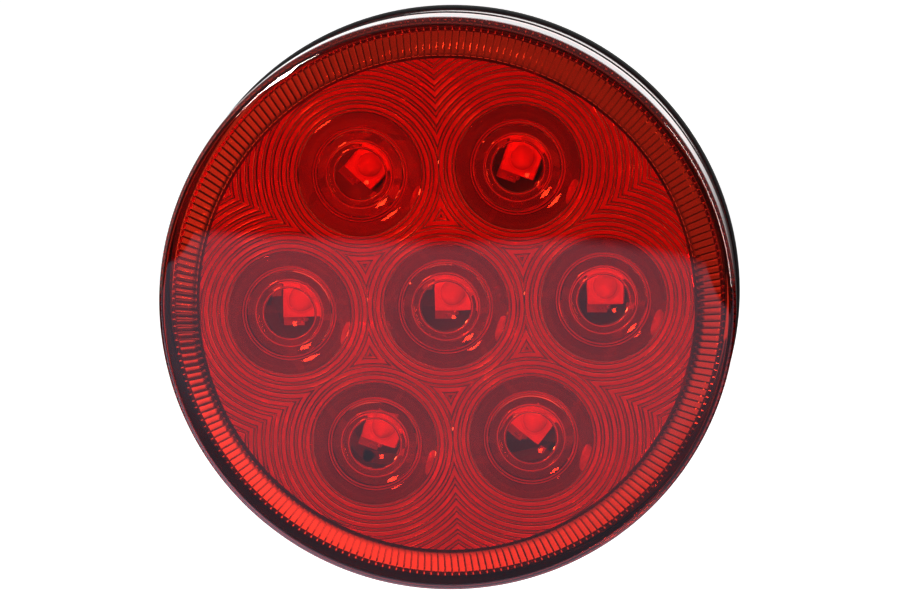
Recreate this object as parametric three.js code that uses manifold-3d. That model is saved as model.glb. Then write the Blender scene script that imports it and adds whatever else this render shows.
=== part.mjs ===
// Round sealed LED stop / tail / turn lamp for a trailer, 4 inch class.
//
// Frame: millimetres, +Z up, lamp upright. The lamp's axis is Y: the red lens
// faces -Y and the connector leaves the back towards +Y. The origin is on the
// axis, in the plane of the rim's rear face, which seats in the panel grommet.

import * as THREE from 'three';
import { mergeVertices } from 'three/addons/utils/BufferGeometryUtils.js';
import Module from 'manifold-3d';

const wasm = await Module();
wasm.setup();

// ---------------------------------------------------------------- dimensions
const RIM_R = 54.55;          // outside radius of the lens at its front corner
const LENS_RIM_Y = -24.3;      // where the crown meets the rounded corner
const CROWN_R = 2900.0;       // spherical radius of the crowned lens front
const LENS_T = 2.8;           // lens wall on the crown
const CORNER_R = 1.8;         // rounding between the crown and the skirt
const SKIRT_T = 2.3;          // wall of the lens skirt
const SKIRT_STEP_Y = -11.4;   // shallow step part way down the skirt
const SKIRT_STEP = 0.3;
const SKIRT_END_R = 55.0;     // outside radius at the step, after the skirt's draft
const GAP = 0.3;              // clearance between touching mouldings

const CELL_PITCH = 29.7;      // distance between neighbouring LED optics
const OPTIC_R = 8.3;          // radius of the stepped condenser under each cell
const OPTIC_H = 1.6;          // how far it stands into the lamp
const RING_R = 47.2;          // plain land between the optics and the rim's flutes
const RING_W = 0.9;           // its width
const FLUTE_R = 52.1;         // outer end of the fluted bevel
const FLUTE_DEPTH = 4.6;      // how far the bevel runs back

const FLANGE_R = 55.75;       // outside radius of the housing's flange
const FLANGE_T = 3.4;         // flange thickness, front to rear
const SPIGOT_R = 51.8;        // locating spigot of the housing, inside the skirt
const SPIGOT_T = 1.8;
const SPIGOT_Y = -14.0;       // front edge of the spigot
const BODY_R0 = 46.2;         // housing body where it leaves the flange
const BODY_R1 = 44.4;         // and at its rear edge
const BODY_Y = 8.5;           // rear wall of the body, outside
const WALL = 2.2;
const SEAL_R0 = 52.35;        // sealant groove in the flange's front
const SEAL_R1 = 53.75;
const SEAL_DEPTH = 1.3;

const BOARD_R = 49.4;
const BOARD_T = 1.6;
const BOARD_Y = -8.8;         // front (component) face of the board
const POST_COUNT = 8;         // ribs on the bore's wall that carry the board
const PEG_R = 1.2;            // moulded pegs that hold the board
const PEG_CIRCLE = 46.9;

const LED_SIZE = 4.2;         // square package
const LED_BASE = 1.0;
const LED_DOME_R = 1.4;

const SOCKET_W = 35.0;        // connector boss, across
const SOCKET_H = 19.0;        // and up
const SOCKET_R = 5.0;         // its corner radius
const SOCKET_Y = 17.5;        // rear rim of the boss
const SOCKET_FLOOR_Y = 5.2;   // floor of the recess
const PIN_R = 1.9;
const PIN_TAIL_R = 0.9;
const PIN_PITCH = 9.4;
const PIN_TIP_Y = 15.6;
const CENTRE_TAIL_Z = -6.0;   // the middle pin's tail is set aside from the middle LED

const SEG = 72;               // facets round the big mouldings

// ------------------------------------------------------------------- helpers
function weld(geometry) {
  const g = geometry.index ? geometry.toNonIndexed() : geometry.clone();
  for (const name of Object.keys(g.attributes)) if (name !== 'position') g.deleteAttribute(name);
  const m = mergeVertices(g, 1e-4);
  const src = m.index.array;
  const pos = m.attributes.position;
  const keep = [];
  for (let i = 0; i < src.length; i += 3) {
    const [a, b, c] = [src[i], src[i + 1], src[i + 2]];
    if (a !== b && b !== c && a !== c) keep.push(a, b, c);
  }
  const v = (i) => new THREE.Vector3().fromBufferAttribute(pos, i);
  let volume = 0;
  for (let i = 0; i < keep.length; i += 3) volume += v(keep[i]).dot(v(keep[i + 1]).cross(v(keep[i + 2])));
  if (volume < 0) for (let i = 0; i < keep.length; i += 3) [keep[i + 1], keep[i + 2]] = [keep[i + 2], keep[i + 1]];
  return { pos: new Float32Array(pos.array), tri: new Uint32Array(keep) };
}

function solid(geometry) {
  const { pos, tri } = weld(geometry);
  return new wasm.Manifold(new wasm.Mesh({ numProp: 3, vertProperties: pos, triVerts: tri }));
}

function toGeometry(manifold) {
  const mesh = manifold.getMesh();
  const n = mesh.vertProperties.length / mesh.numProp;
  const pos = new Float32Array(n * 3);
  for (let i = 0; i < n; i++) for (let k = 0; k < 3; k++) pos[3 * i + k] = mesh.vertProperties[i * mesh.numProp + k];
  const g = new THREE.BufferGeometry();
  g.setAttribute('position', new THREE.BufferAttribute(pos, 3));
  g.setIndex(new THREE.BufferAttribute(new Uint32Array(mesh.triVerts), 1));
  g.computeVertexNormals();
  return g;
}

// closed ring or disc of revolution about Y from [radius, y] corners
function turned(profile, seg = SEG) {
  const pts = profile.map(([r, y]) => new THREE.Vector2(r, y));
  const onAxis = profile[0][0] === 0 && profile[profile.length - 1][0] === 0;
  if (!onAxis) pts.push(pts[0].clone());
  return solid(new THREE.LatheGeometry(pts, seg));
}

// block between two Y planes from an outline in X, Z
function slab(shape, y0, y1, curveSegments = 8) {
  const g = new THREE.ExtrudeGeometry(shape, { depth: y1 - y0, bevelEnabled: false, curveSegments });
  g.rotateX(Math.PI / 2);      // outline's Y becomes Z, depth runs towards -Y
  g.translate(0, y1, 0);
  return solid(g);
}

function rounded(w, h, r) {
  const s = new THREE.Shape();
  const x = w / 2, y = h / 2;
  s.moveTo(-x + r, -y);
  s.lineTo(x - r, -y); s.absarc(x - r, -y + r, r, -Math.PI / 2, 0, false);
  s.lineTo(x, y - r); s.absarc(x - r, y - r, r, 0, Math.PI / 2, false);
  s.lineTo(-x + r, y); s.absarc(-x + r, y - r, r, Math.PI / 2, Math.PI, false);
  s.lineTo(-x, -y + r); s.absarc(-x + r, -y + r, r, Math.PI, Math.PI * 1.5, false);
  s.closePath();
  return s;
}

// round rod along Y
function rod(r, y0, y1, seg = 24) {
  return turned([[0, y0], [r, y0], [r, y1], [0, y1]], seg);
}

const lamp = new THREE.Group();
lamp.name = 'trailer_tail_light';

function add(name, shape, color, roughness, metalness = 0, extra = {}) {
  const geometry = shape.isBufferGeometry ? shape : toGeometry(shape);
  const mesh = new THREE.Mesh(geometry, new THREE.MeshStandardMaterial({ color, roughness, metalness, ...extra }));
  mesh.name = name;
  lamp.add(mesh);
  return mesh;
}

// hexagonal cluster: one LED in the middle and six round it, rows level
const CELLS = [[0, 0]];
for (let k = 0; k < 6; k++) {
  const a = (Math.PI / 3) * k;
  CELLS.push([CELL_PITCH * Math.cos(a), CELL_PITCH * Math.sin(a)]);
}
const PINS = [['pin_stop_turn', -PIN_PITCH, 0], ['pin_ground', 0, CENTRE_TAIL_Z], ['pin_tail', PIN_PITCH, 0]];

// ---------------------------------------------------------------------- lens
// how far the crown has fallen back at radius r
const crownDrop = (r) => CROWN_R - Math.sqrt(CROWN_R * CROWN_R - r * r);
const CROWN_END = RIM_R - CORNER_R;
const APEX_Y = LENS_RIM_Y - crownDrop(CROWN_END);
const frontY = (r) => APEX_Y + crownDrop(r);
const backY = (r) => frontY(r) + LENS_T;
const SKIRT_END_Y = -FLANGE_T - GAP;

const lensProfile = [];
for (const r of [0, 13, 26, 39, 47, CROWN_END]) lensProfile.push([r, frontY(r)]);
for (const t of [0.3, 0.65, 1]) {
  const a = -Math.PI / 2 * (1 - t);
  lensProfile.push([CROWN_END + CORNER_R * Math.cos(a), LENS_RIM_Y + CORNER_R + CORNER_R * Math.sin(a)]);
}
lensProfile.push([SKIRT_END_R, SKIRT_STEP_Y], [SKIRT_END_R - SKIRT_STEP, SKIRT_STEP_Y + 0.25], [SKIRT_END_R + 0.1, SKIRT_END_Y]);
// inside: skirt, bevel, plain land, then the back of the crown
const LAND_Y = backY(RING_R);
lensProfile.push([RIM_R - SKIRT_T, SKIRT_END_Y], [RIM_R - SKIRT_T, LAND_Y + FLUTE_DEPTH + 0.3], [FLUTE_R, LAND_Y + FLUTE_DEPTH]);
lensProfile.push([RING_R + RING_W / 2, LAND_Y], [RING_R - RING_W / 2, LAND_Y]);
for (const r of [36, 24, 12, 0]) lensProfile.push([r, backY(r)]);
let lens = turned(lensProfile);
for (const [x, z] of CELLS) {
  // stepped condenser moulded under the crown
  const y = backY(Math.hypot(x, z));
  lens = lens.add(turned([
    [0, y - 1.1], [OPTIC_R, y - 1.1], [OPTIC_R, y + 0.6],
    [6.4, y + 0.8], [4.7, y + OPTIC_H - 0.6], [2.4, y + OPTIC_H - 0.15], [0, y + OPTIC_H],
  ], 24).translate([x, 0, z]));
}
add('lens', lens, 0xb5101a, 0.05, 0, { transparent: true, opacity: 0.8 });

// ------------------------------------------------------------------- housing
const bossOutline = (grow = 0) => rounded(SOCKET_W + 2 * grow, SOCKET_H + 2 * grow, SOCKET_R + grow);
const FLOOR_IN_Y = SOCKET_FLOOR_Y - WALL;
let housing = turned([
  [0, -FLANGE_T], [FLANGE_R - 0.55, -FLANGE_T], [FLANGE_R - 0.2, -FLANGE_T + 0.8], [FLANGE_R, -FLANGE_T + 2.2], [FLANGE_R, -0.6], [FLANGE_R - 0.6, 0.0], [BODY_R0, 0.0],
  [BODY_R1 + 0.2, BODY_Y - 1.4], [BODY_R1 - 1.2, BODY_Y], [0, BODY_Y],
]);
housing = housing.add(turned([[0, SPIGOT_Y], [SPIGOT_R - 0.5, SPIGOT_Y], [SPIGOT_R, SPIGOT_Y + 0.5], [SPIGOT_R, -2.6], [0, -2.6]]));
housing = housing.add(slab(bossOutline(), 3.2, SOCKET_Y));
// interior, open to the front: flange bore, then the body behind the board's ledge
const BORE_R = SPIGOT_R - SPIGOT_T;
const STEP_Y = -WALL;               // floor of the flange bore
const LEDGE_Y = BOARD_Y + BOARD_T + GAP; // top of the ribs, behind the board
const CAVITY_R = BODY_R0 - WALL;
const CAVITY_END_Y = BODY_Y - WALL;
housing = housing.subtract(rod(BORE_R, -40, STEP_Y, SEG));
housing = housing.subtract(
  turned([[0, -3], [CAVITY_R, -3], [CAVITY_R, 0], [CAVITY_R - 1.0, CAVITY_END_Y], [0, CAVITY_END_Y]])
    .subtract(slab(bossOutline(), FLOOR_IN_Y, 14)));
housing = housing.subtract(turned([
  [SEAL_R0, -FLANGE_T - 1], [SEAL_R1, -FLANGE_T - 1], [SEAL_R1, -FLANGE_T + SEAL_DEPTH], [SEAL_R0, -FLANGE_T + SEAL_DEPTH]]));
// the well that the trailer plug enters, and the three pin holes in its floor
housing = housing.subtract(slab(bossOutline(-WALL), SOCKET_FLOOR_Y, SOCKET_Y + 1));
for (const [, x] of PINS) housing = housing.subtract(rod(PIN_TAIL_R + GAP, 1, 7, 16).translate([x, 0, 0]));
// keyway in the well's upper wall, for the rib on the plug
housing = housing.subtract(solid(new THREE.BoxGeometry(5, 6, 2.4).translate(0, SOCKET_Y - 1.5, SOCKET_H / 2 - WALL)));
// stiffening ribs on the rear wall
for (let k = 0; k < 8; k++) {
  const a = (Math.PI / 4) * k + Math.PI / 8;
  housing = housing.add(solid(new THREE.BoxGeometry(17.0, 2.4, 1.8).translate(32.6, BODY_Y + 0.3, 0).rotateY(a)));
}
// ribs on the bore's wall carry the board; every other one ends in a peg, heat-staked over the board
const POSTS = Array.from({ length: POST_COUNT }, (_, k) => Math.PI / 8 + (k * 2 * Math.PI) / POST_COUNT);
const PEG_ANGLES = POSTS.filter((_, k) => k % 2 === 0);
for (const a of POSTS) {
  const h = STEP_Y + 0.8 - LEDGE_Y;
  housing = housing.add(solid(new THREE.BoxGeometry(BORE_R + 0.8 - 45.2, h, 2.8).translate((BORE_R + 0.8 + 45.2) / 2, LEDGE_Y + h / 2, 0).rotateY(-a)));
}
for (const a of PEG_ANGLES) housing = housing.add(rod(PEG_R, BOARD_Y - 1.0, LEDGE_Y + 0.6, 16).translate([PEG_CIRCLE * Math.cos(a), 0, PEG_CIRCLE * Math.sin(a)]));
add('housing', housing, 0x17181a, 0.55);

// -------------------------------------------------------------- lens sealant
add('lens_sealant', turned([
  [SEAL_R0 + GAP, -FLANGE_T], [SEAL_R1 - GAP, -FLANGE_T], [SEAL_R1 - GAP, -FLANGE_T + SEAL_DEPTH - GAP], [SEAL_R0 + GAP, -FLANGE_T + SEAL_DEPTH - GAP],
]), 0x2b2b2d, 0.7);

// ------------------------------------------------------------- circuit board
let board = rod(BOARD_R, BOARD_Y, BOARD_Y + BOARD_T, SEG);
for (const [, x, z] of PINS) board = board.subtract(rod(PIN_TAIL_R + GAP, BOARD_Y - 2, BOARD_Y + 4, 16).translate([x, 0, z]));
for (const a of PEG_ANGLES) board = board.subtract(rod(PEG_R + GAP, BOARD_Y - 2, BOARD_Y + 4, 16).translate([PEG_CIRCLE * Math.cos(a), 0, PEG_CIRCLE * Math.sin(a)]));
add('circuit_board', board, 0x141c18, 0.45);

// ---------------------------------------------------------------------- LEDs
const TOP = BOARD_Y - 0.1;          // parts are soldered onto the board's front
const onBoard = (w, h, d, x, z, turn = 0) => solid(new THREE.BoxGeometry(w, d, h).rotateY(turn).translate(x, TOP - d / 2, z));
CELLS.forEach(([x, z], i) => {
  const led = onBoard(LED_SIZE, LED_SIZE, LED_BASE, x, z, [0.04, 0.04, 0.4, 0.79, 0.04, 0.4, 0.7][i]);
  const y = TOP - LED_BASE;
  const dome = turned([
    [0, y - LED_DOME_R], [LED_DOME_R * 0.5, y - LED_DOME_R * 0.866], [LED_DOME_R * 0.866, y - LED_DOME_R * 0.5], [LED_DOME_R, y], [LED_DOME_R, y + 0.4], [0, y + 0.4],
  ], 16).translate([x, 0, z]);
  add(`led_${i + 1}`, led.add(dome), 0xe9e4da, 0.35);
});

// ---------------------------------------------------- parts of the LED driver
const MID = CELL_PITCH / Math.sqrt(3);       // centre of a gap between three cells
const gapAt = (k) => [MID * Math.cos(Math.PI / 6 + (k * Math.PI) / 3), MID * Math.sin(Math.PI / 6 + (k * Math.PI) / 3)];
const OUT = 41.0;                            // between two outer cells, near the rim
const outAt = (k) => [OUT * Math.cos(Math.PI / 6 + (k * Math.PI) / 3), OUT * Math.sin(Math.PI / 6 + (k * Math.PI) / 3)];
for (let k = 0; k < 6; k++) {
  const [x, z] = outAt(k);
  add(`resistor_${k + 1}`, onBoard(6.3, 3.2, 0.7, x, z, -(Math.PI / 6 + (k * Math.PI) / 3) + Math.PI / 2), 0x1b1b1e, 0.5);
}
{
  const [x, z] = gapAt(0);
  add('diode_stop', onBoard(4.4, 2.7, 2.1, x, z), 0x1d1d20, 0.5);
}
{
  const [x, z] = gapAt(2);
  add('diode_tail', onBoard(4.4, 2.7, 2.1, x, z), 0x1d1d20, 0.5);
}
{
  const [x, z] = gapAt(1);
  const can = turned([[0, TOP - 5.6], [2.6, TOP - 5.6], [3.0, TOP - 5.2], [3.0, TOP - 0.9], [3.15, TOP - 0.9], [3.15, TOP - 0.05], [0, TOP - 0.05]], 24);
  add('capacitor', can.translate([x, 0, z]).add(onBoard(6.6, 6.6, 0.8, x, z)), 0xb9bcc0, 0.3, 0.8);
}
{
  const [x, z] = gapAt(3);
  add('current_regulator', onBoard(6.6, 6.1, 2.3, x, z).add(onBoard(5.2, 1.6, 0.6, x, z + 3.6)), 0x1d1d20, 0.5);
}
{
  const [x, z] = gapAt(5);
  add('surge_suppressor', onBoard(4.6, 3.8, 2.2, x, z), 0x1d1d20, 0.5);
}

// ---------------------------------------------------------------- connector
for (const [name, x, tailZ] of PINS) {
  const y0 = SOCKET_FLOOR_Y + GAP;
  const front = BOARD_Y - 1.0;               // the tail's end, soldered on the board's front
  let pin = turned([
    [0, y0 - 1.0], [PIN_TAIL_R, y0 - 1.0], [PIN_TAIL_R, y0], [PIN_R, y0], [PIN_R, PIN_TIP_Y - 1.4], [PIN_R * 0.8, PIN_TIP_Y - 0.4], [PIN_R * 0.35, PIN_TIP_Y], [0, PIN_TIP_Y],
  ], 24).translate([x, 0, 0]);
  if (tailZ === 0) {
    pin = pin.add(rod(PIN_TAIL_R, front, y0 - 0.5, 16).translate([x, 0, 0]));
  } else {
    // jogged terminal
    const jogY = -5.0;
    pin = pin.add(rod(PIN_TAIL_R, jogY - PIN_TAIL_R, y0 - 0.5, 16).translate([x, 0, 0]));
    pin = pin.add(rod(PIN_TAIL_R, front, jogY + PIN_TAIL_R, 16).translate([x, 0, tailZ]));
    pin = pin.add(solid(new THREE.BoxGeometry(1.4, 1.4, Math.abs(tailZ)).translate(x, jogY, tailZ / 2)));
  }
  add(name, pin, 0xc9a24d, 0.3, 0.9);
}

// ------------------------------------------------------------------- potting
// epoxy poured over the rear wall, round the terminals
const POUR_Y = 0.6;
let potting = turned([[0, POUR_Y], [CAVITY_R - GAP - 0.1, POUR_Y], [CAVITY_R - 1.0 - GAP, CAVITY_END_Y - GAP], [0, CAVITY_END_Y - GAP]]);
potting = potting.subtract(slab(bossOutline(GAP), FLOOR_IN_Y - GAP, 14));
for (const [, x] of PINS) potting = potting.subtract(rod(PIN_TAIL_R + GAP, -9, 14, 16).translate([x, 0, 0]));
add('potting', potting, 0x101114, 0.6);

export default lamp;
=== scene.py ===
"""Looks of the round sealed trailer lamp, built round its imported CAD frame. Lengths here are millimetres; MM turns them into metres."""
import bpy
import bmesh
import math
import random
from mathutils import Vector, Matrix


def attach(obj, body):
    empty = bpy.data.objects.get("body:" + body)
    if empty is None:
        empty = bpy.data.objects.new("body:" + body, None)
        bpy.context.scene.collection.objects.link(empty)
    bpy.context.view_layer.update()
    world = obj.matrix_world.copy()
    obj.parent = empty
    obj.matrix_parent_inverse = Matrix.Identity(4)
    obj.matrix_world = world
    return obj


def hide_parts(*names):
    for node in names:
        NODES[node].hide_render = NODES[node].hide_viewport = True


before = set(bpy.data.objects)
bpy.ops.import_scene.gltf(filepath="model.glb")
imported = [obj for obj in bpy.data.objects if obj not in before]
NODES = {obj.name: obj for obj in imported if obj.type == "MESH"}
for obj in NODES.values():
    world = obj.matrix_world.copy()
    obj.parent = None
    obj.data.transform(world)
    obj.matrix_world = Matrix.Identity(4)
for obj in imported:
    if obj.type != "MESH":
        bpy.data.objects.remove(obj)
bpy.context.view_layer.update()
MM = 0.001
RNG = random.Random(7)

# ------------------------------------------------------------------ camera
TILT, TOWARDS, ROLL = 8.825, 61.465, 2.99        # degrees off the lamp's axis, the side it is seen from, and the turn of the picture
DIST, PX_PER_MM = 0.6, 5.279
AIM = Vector((0.0, -0.0200, 0.0))
t, u = math.radians(TILT), math.radians(TOWARDS)
off = Vector((math.sin(t) * math.cos(u), -math.cos(t), math.sin(t) * math.sin(u)))
cam_data = bpy.data.cameras.new("camera")
cam = bpy.data.objects.new("camera", cam_data)
bpy.context.scene.collection.objects.link(cam)
cam.location = AIM + off * DIST
fwd = -off
right = fwd.cross(Vector((0, 0, 1))).normalized()
up = right.cross(fwd).normalized()
r = math.radians(ROLL)
right, up = right * math.cos(r) - up * math.sin(r), up * math.cos(r) + right * math.sin(r)
cam.rotation_euler = Matrix((right, up, -fwd)).transposed().to_euler()
cam_data.sensor_width = 36.0
cam_data.lens = PX_PER_MM * DIST * 1000 * 36.0 / 900.0
cam_data.shift_x, cam_data.shift_y = 3.13 / 900.0, 4.52 / 900.0
cam_data.clip_start, cam_data.clip_end = 0.01, 100.0
bpy.context.scene.camera = cam


# --------------------------------------------------------------- mesh tools
class Shell:
    """Vertices welded by place, and faces, in millimetres."""

    def __init__(self):
        self.v, self.f, self.key, self.m = [], [], {}, []

    def vert(self, x, y, z):
        k = (round(x * 2e4), round(y * 2e4), round(z * 2e4))
        i = self.key.get(k)
        if i is None:
            i = self.key[k] = len(self.v)
            self.v.append((x, y, z))
        return i

    def face(self, ids, mat=0):
        out = []
        for i in ids:
            if i not in out:
                out.append(i)
        if len(out) > 2:
            self.f.append(out)
            self.m.append(mat)

    def ring(self, r, y, angles):
        return [self.vert(r * math.cos(a), y, r * math.sin(a)) for a in angles]

    def bridge(self, a, b, mat=0):
        n = len(a)
        for i in range(n):
            j = (i + 1) % n
            self.face((a[i], a[j], b[j], b[i]), mat)

    def zip(self, a, aa, b, ba, mat=0):
        """Joins two closed rings with different numbers of points; aa and ba are their angles, rising from the same start."""
        i = j = 0
        n, m = len(a), len(b)
        while i < n or j < m:
            ta = aa[i + 1] if i + 1 < n else aa[0] + 2 * math.pi if i < n else math.inf
            tb = ba[j + 1] if j + 1 < m else ba[0] + 2 * math.pi if j < m else math.inf
            if ta <= tb:
                self.face((a[i % n], a[(i + 1) % n], b[j % m]), mat)
                i += 1
            else:
                self.face((a[i % n], b[(j + 1) % m], b[j % m]), mat)
                j += 1

    def build(self, name, sharp=25.0, bevel=None):
        me = bpy.data.meshes.new(name)
        me.from_pydata([(x * MM, y * MM, z * MM) for x, y, z in self.v], [], self.f)
        me.polygons.foreach_set("material_index", self.m)
        bm = bmesh.new()
        bm.from_mesh(me)
        bmesh.ops.remove_doubles(bm, verts=bm.verts, dist=4e-7)
        loose = [v for v in bm.verts if not v.link_faces]
        bmesh.ops.delete(bm, geom=loose, context="VERTS")
        bmesh.ops.recalc_face_normals(bm, faces=bm.faces)
        if bm.calc_volume(signed=True) < 0:
            bmesh.ops.reverse_faces(bm, faces=bm.faces)
        lim = math.radians(sharp)
        bad = 0
        for e in bm.edges:
            if len(e.link_faces) != 2:
                bad += 1
            e.smooth = len(e.link_faces) == 2 and e.calc_face_angle(0) < lim
        for f in bm.faces:
            f.smooth = True
        bm.to_mesh(me)
        bm.free()
        ob = bpy.data.objects.new(name, me)
        bpy.context.scene.collection.objects.link(ob)
        print(name, len(me.vertices), "vertices", sum(len(p.vertices) - 2 for p in me.polygons), "triangles", bad, "open edges")
        return ob


def circle(n, start=0.0):
    return [start + 2 * math.pi * i / n for i in range(n)]


class Solids:
    """Closed bodies gathered into one piece: rounded blocks, turned bodies and blobs, each with its own material slot."""

    def __init__(self):
        self.bm = bmesh.new()

    def _own(self, verts, mat):
        faces = {f for v in verts for f in v.link_faces}
        for f in faces:
            f.material_index = mat
        return list({e for v in verts for e in v.link_edges})

    def block(self, centre, size, turn=0.0, bevel=0.0, mat=0, segments=2):
        x, y, z = centre
        m = Matrix.Translation((x, y, z)) @ Matrix.Rotation(turn, 4, "Y") @ Matrix.Diagonal((*size, 1.0))
        made = bmesh.ops.create_cube(self.bm, size=1.0, matrix=m)
        edges = self._own(made["verts"], mat)
        if bevel:
            bmesh.ops.bevel(self.bm, geom=edges, offset=bevel, segments=segments, affect="EDGES", profile=0.5, material=mat)

    def turned(self, profile, centre=(0.0, 0.0), n=32, mat=0, squash=(1.0, 1.0), turn=0.0):
        """profile: (r, y) from axis to axis."""
        cx, cz = centre
        rows = []
        for r, y in profile:
            if r == 0:
                rows.append([self.bm.verts.new((cx, y, cz))])
                continue
            row = []
            for i in range(n):
                a = 2 * math.pi * i / n
                x, z = r * squash[0] * math.cos(a), r * squash[1] * math.sin(a)
                row.append(self.bm.verts.new((cx + x * math.cos(turn) + z * math.sin(turn), y, cz - x * math.sin(turn) + z * math.cos(turn))))
            rows.append(row)
        if profile[0] == profile[-1]:
            for v in rows.pop():
                self.bm.verts.remove(v)
            rows.append(rows[0])
        for a, b in zip(rows, rows[1:]):
            for i in range(n):
                j = (i + 1) % n
                if len(a) == 1:
                    f = self.bm.faces.new((a[0], b[i], b[j]))
                elif len(b) == 1:
                    f = self.bm.faces.new((a[i], b[0], a[j]))
                else:
                    f = self.bm.faces.new((a[i], b[i], b[j], a[j]))
                f.material_index = mat

    def build(self, name, sharp=35.0):
        bm = self.bm
        bmesh.ops.recalc_face_normals(bm, faces=bm.faces)
        lim = math.radians(sharp)
        bad = 0
        for v in bm.verts:
            v.co = v.co * MM
        for e in bm.edges:
            if len(e.link_faces) != 2:
                bad += 1
            e.smooth = len(e.link_faces) == 2 and e.calc_face_angle(0) < lim
        for f in bm.faces:
            f.smooth = True
        me = bpy.data.meshes.new(name)
        bm.to_mesh(me)
        bm.free()
        ob = bpy.data.objects.new(name, me)
        bpy.context.scene.collection.objects.link(ob)
        print(name, len(me.vertices), "vertices", sum(len(p.vertices) - 2 for p in me.polygons), "triangles", bad, "open edges")
        return ob


def dome(r, y, n=6, h=None):
    """Profile of a cap that rises towards the viewer from a circle of radius r in the plane y."""
    h = r if h is None else h
    return [(0.0, y - h)] + [(r * math.sin(math.pi / 2 * i / n), y - h * math.cos(math.pi / 2 * i / n)) for i in range(1, n + 1)]


# --------------------------------------------------------------------- lens
RIM_R, RIM_Y, CROWN_R, LENS_T, CORNER_R = 54.55, -24.3, 2900.0, 2.8, 1.8
CROWN_END = RIM_R - CORNER_R
drop = lambda r: CROWN_R - math.sqrt(CROWN_R * CROWN_R - r * r)
APEX = RIM_Y - drop(CROWN_END)
front = lambda r: APEX + drop(r)
BASE_T = 2.45                                    # wall under the ring teeth
back = lambda r: front(r) + BASE_T
PITCH, HALF = 29.7, 14.85
OPTIC_LIMIT, LAND_END, FLUTE_END, FLUTE_DEPTH, FLUTES = 46.75, 47.65, 52.1, 4.6, 243
CENTRES = [(0.0, 0.0)] + [(PITCH * math.cos(k * math.pi / 3), PITCH * math.sin(k * math.pi / 3)) for k in range(6)]
CLEAR, BAND, BEAD, INNER, FLUTE, SHADE = 0, 1, 2, 3, 4, 5 # material slots of the lens: polished, four weights of moulded-in haze, and steep flanks tinted dark red as painted shade

# Inner relief: (distance from the optic's axis, height over the base, slot of the face that ends there)
# Faces in the SHADE slot are tinted dark red: painted shade along the steep flanks of the steps and ribs.
PROFILE = [(0.0, 1.50, INNER)]


def curve(r0, r1, h0, h1, bulge, n, slot):
    for i in range(1, n + 1):
        q = i / n
        PROFILE.append((r0 + (r1 - r0) * q, h0 + (h1 - h0) * q + bulge * 4 * q * (1 - q), slot))


curve(0.0, 4.72, 1.50, 0.86, 0.160, 7, CLEAR)    # middle lens
PROFILE += [(4.82, 0.76, SHADE), (4.92, 0.88, SHADE), (5.02, 1.00, BEAD), (5.12, 1.00, BEAD), (5.18, 0.94, SHADE)]
curve(5.18, 6.10, 0.94, 0.66, 0.02, 2, INNER)    # second zone
PROFILE += [(6.20, 0.58, SHADE), (6.28, 0.68, SHADE), (6.38, 0.80, BEAD), (6.48, 0.80, BEAD), (6.54, 0.74, SHADE)]
curve(6.54, 7.92, 0.74, 0.54, 0.03, 2, INNER)    # third zone
PROFILE += [(8.02, 0.46, SHADE), (8.12, 0.38, SHADE), (8.20, 0.40, CLEAR), (8.34, 0.46, BEAD), (8.46, 0.42, BEAD), (8.56, 0.30, SHADE),
            (8.68, 0.27, SHADE), (8.84, 0.34, BEAD), (8.98, 0.30, BEAD), (9.12, 0.20, SHADE)]
curve(9.12, 11.60, 0.20, 0.12, -0.10, 5, INNER)  # plain ring round the lens
TOOTH, TEETH_FROM = 1.560, 11.72
# The flanks of each rib take the SHADE slot, so they show as painted shade lines.
RIB = [(0.05, 0.075, SHADE), (0.092, 0.125, SHADE), (0.20, 0.165, BEAD), (0.31, 0.125, BEAD), (0.355, 0.075, SHADE), (0.405, 0.0, SHADE),
       (0.455, 0.075, SHADE), (0.50, 0.125, SHADE), (0.70, 0.185, BAND), (0.908, 0.125, BAND), (0.95, 0.075, SHADE), (1.0, 0.0, SHADE)]
PROFILE.append((TEETH_FROM, 0.0, CLEAR))
start = TEETH_FROM
while start < 26.5:
    for q, h, slot in RIB:
        PROFILE.append((start + TOOTH * q, h, slot))
    start += TOOTH


def relief(r):
    for (a, ha, _), (b, hb, _) in zip(PROFILE, PROFILE[1:]):
        if r <= b:
            return ha + (hb - ha) * (r - a) / (b - a)
    return PROFILE[-1][1]


def fences(c):
    """What bounds one optic: sides towards its neighbours as (nx, nz, offset), and corners where the bounds meet."""
    cx, cz = CENTRES[c]
    sides, corners = [], []
    towards = range(6) if c == 0 else [(c - 1 + k) % 6 for k in (2, 3, 4)]
    for k in towards:
        a = k * math.pi / 3
        sides.append((math.cos(a), math.sin(a), HALF))
    if c == 0:
        for k in range(6):
            a = (k + 0.5) * math.pi / 3
            corners.append((HALF / math.cos(math.pi / 6), a))
    else:
        a = (c - 1) * math.pi / 3
        for s in (-1, 1):
            corners.append((HALF / math.cos(math.pi / 6), a + math.pi + s * math.pi / 6))
        j = math.atan2(OPTIC_LIMIT * 0.5, OPTIC_LIMIT * math.cos(math.pi / 6) - PITCH)
        reach_ = math.hypot(OPTIC_LIMIT * 0.5, OPTIC_LIMIT * math.cos(math.pi / 6) - PITCH)
        for s in (-1, 1):
            corners.append((reach_, a + s * j))
    return sides, [(d * math.cos(a), d * math.sin(a), relief(d)) for d, a in corners]


def clip(poly, inside, cut):
    """Keeps the part of a polygon that is inside; cut gives the share of the way along an edge at which it leaves."""
    out = []
    for i, p in enumerate(poly):
        q = poly[(i + 1) % len(poly)]
        ip, iq = inside(p), inside(q)
        if ip:
            out.append(p)
        if ip != iq:
            s = cut(p, q)
            out.append(tuple(p[k] + (q[k] - p[k]) * s for k in range(3)))
    return out


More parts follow.
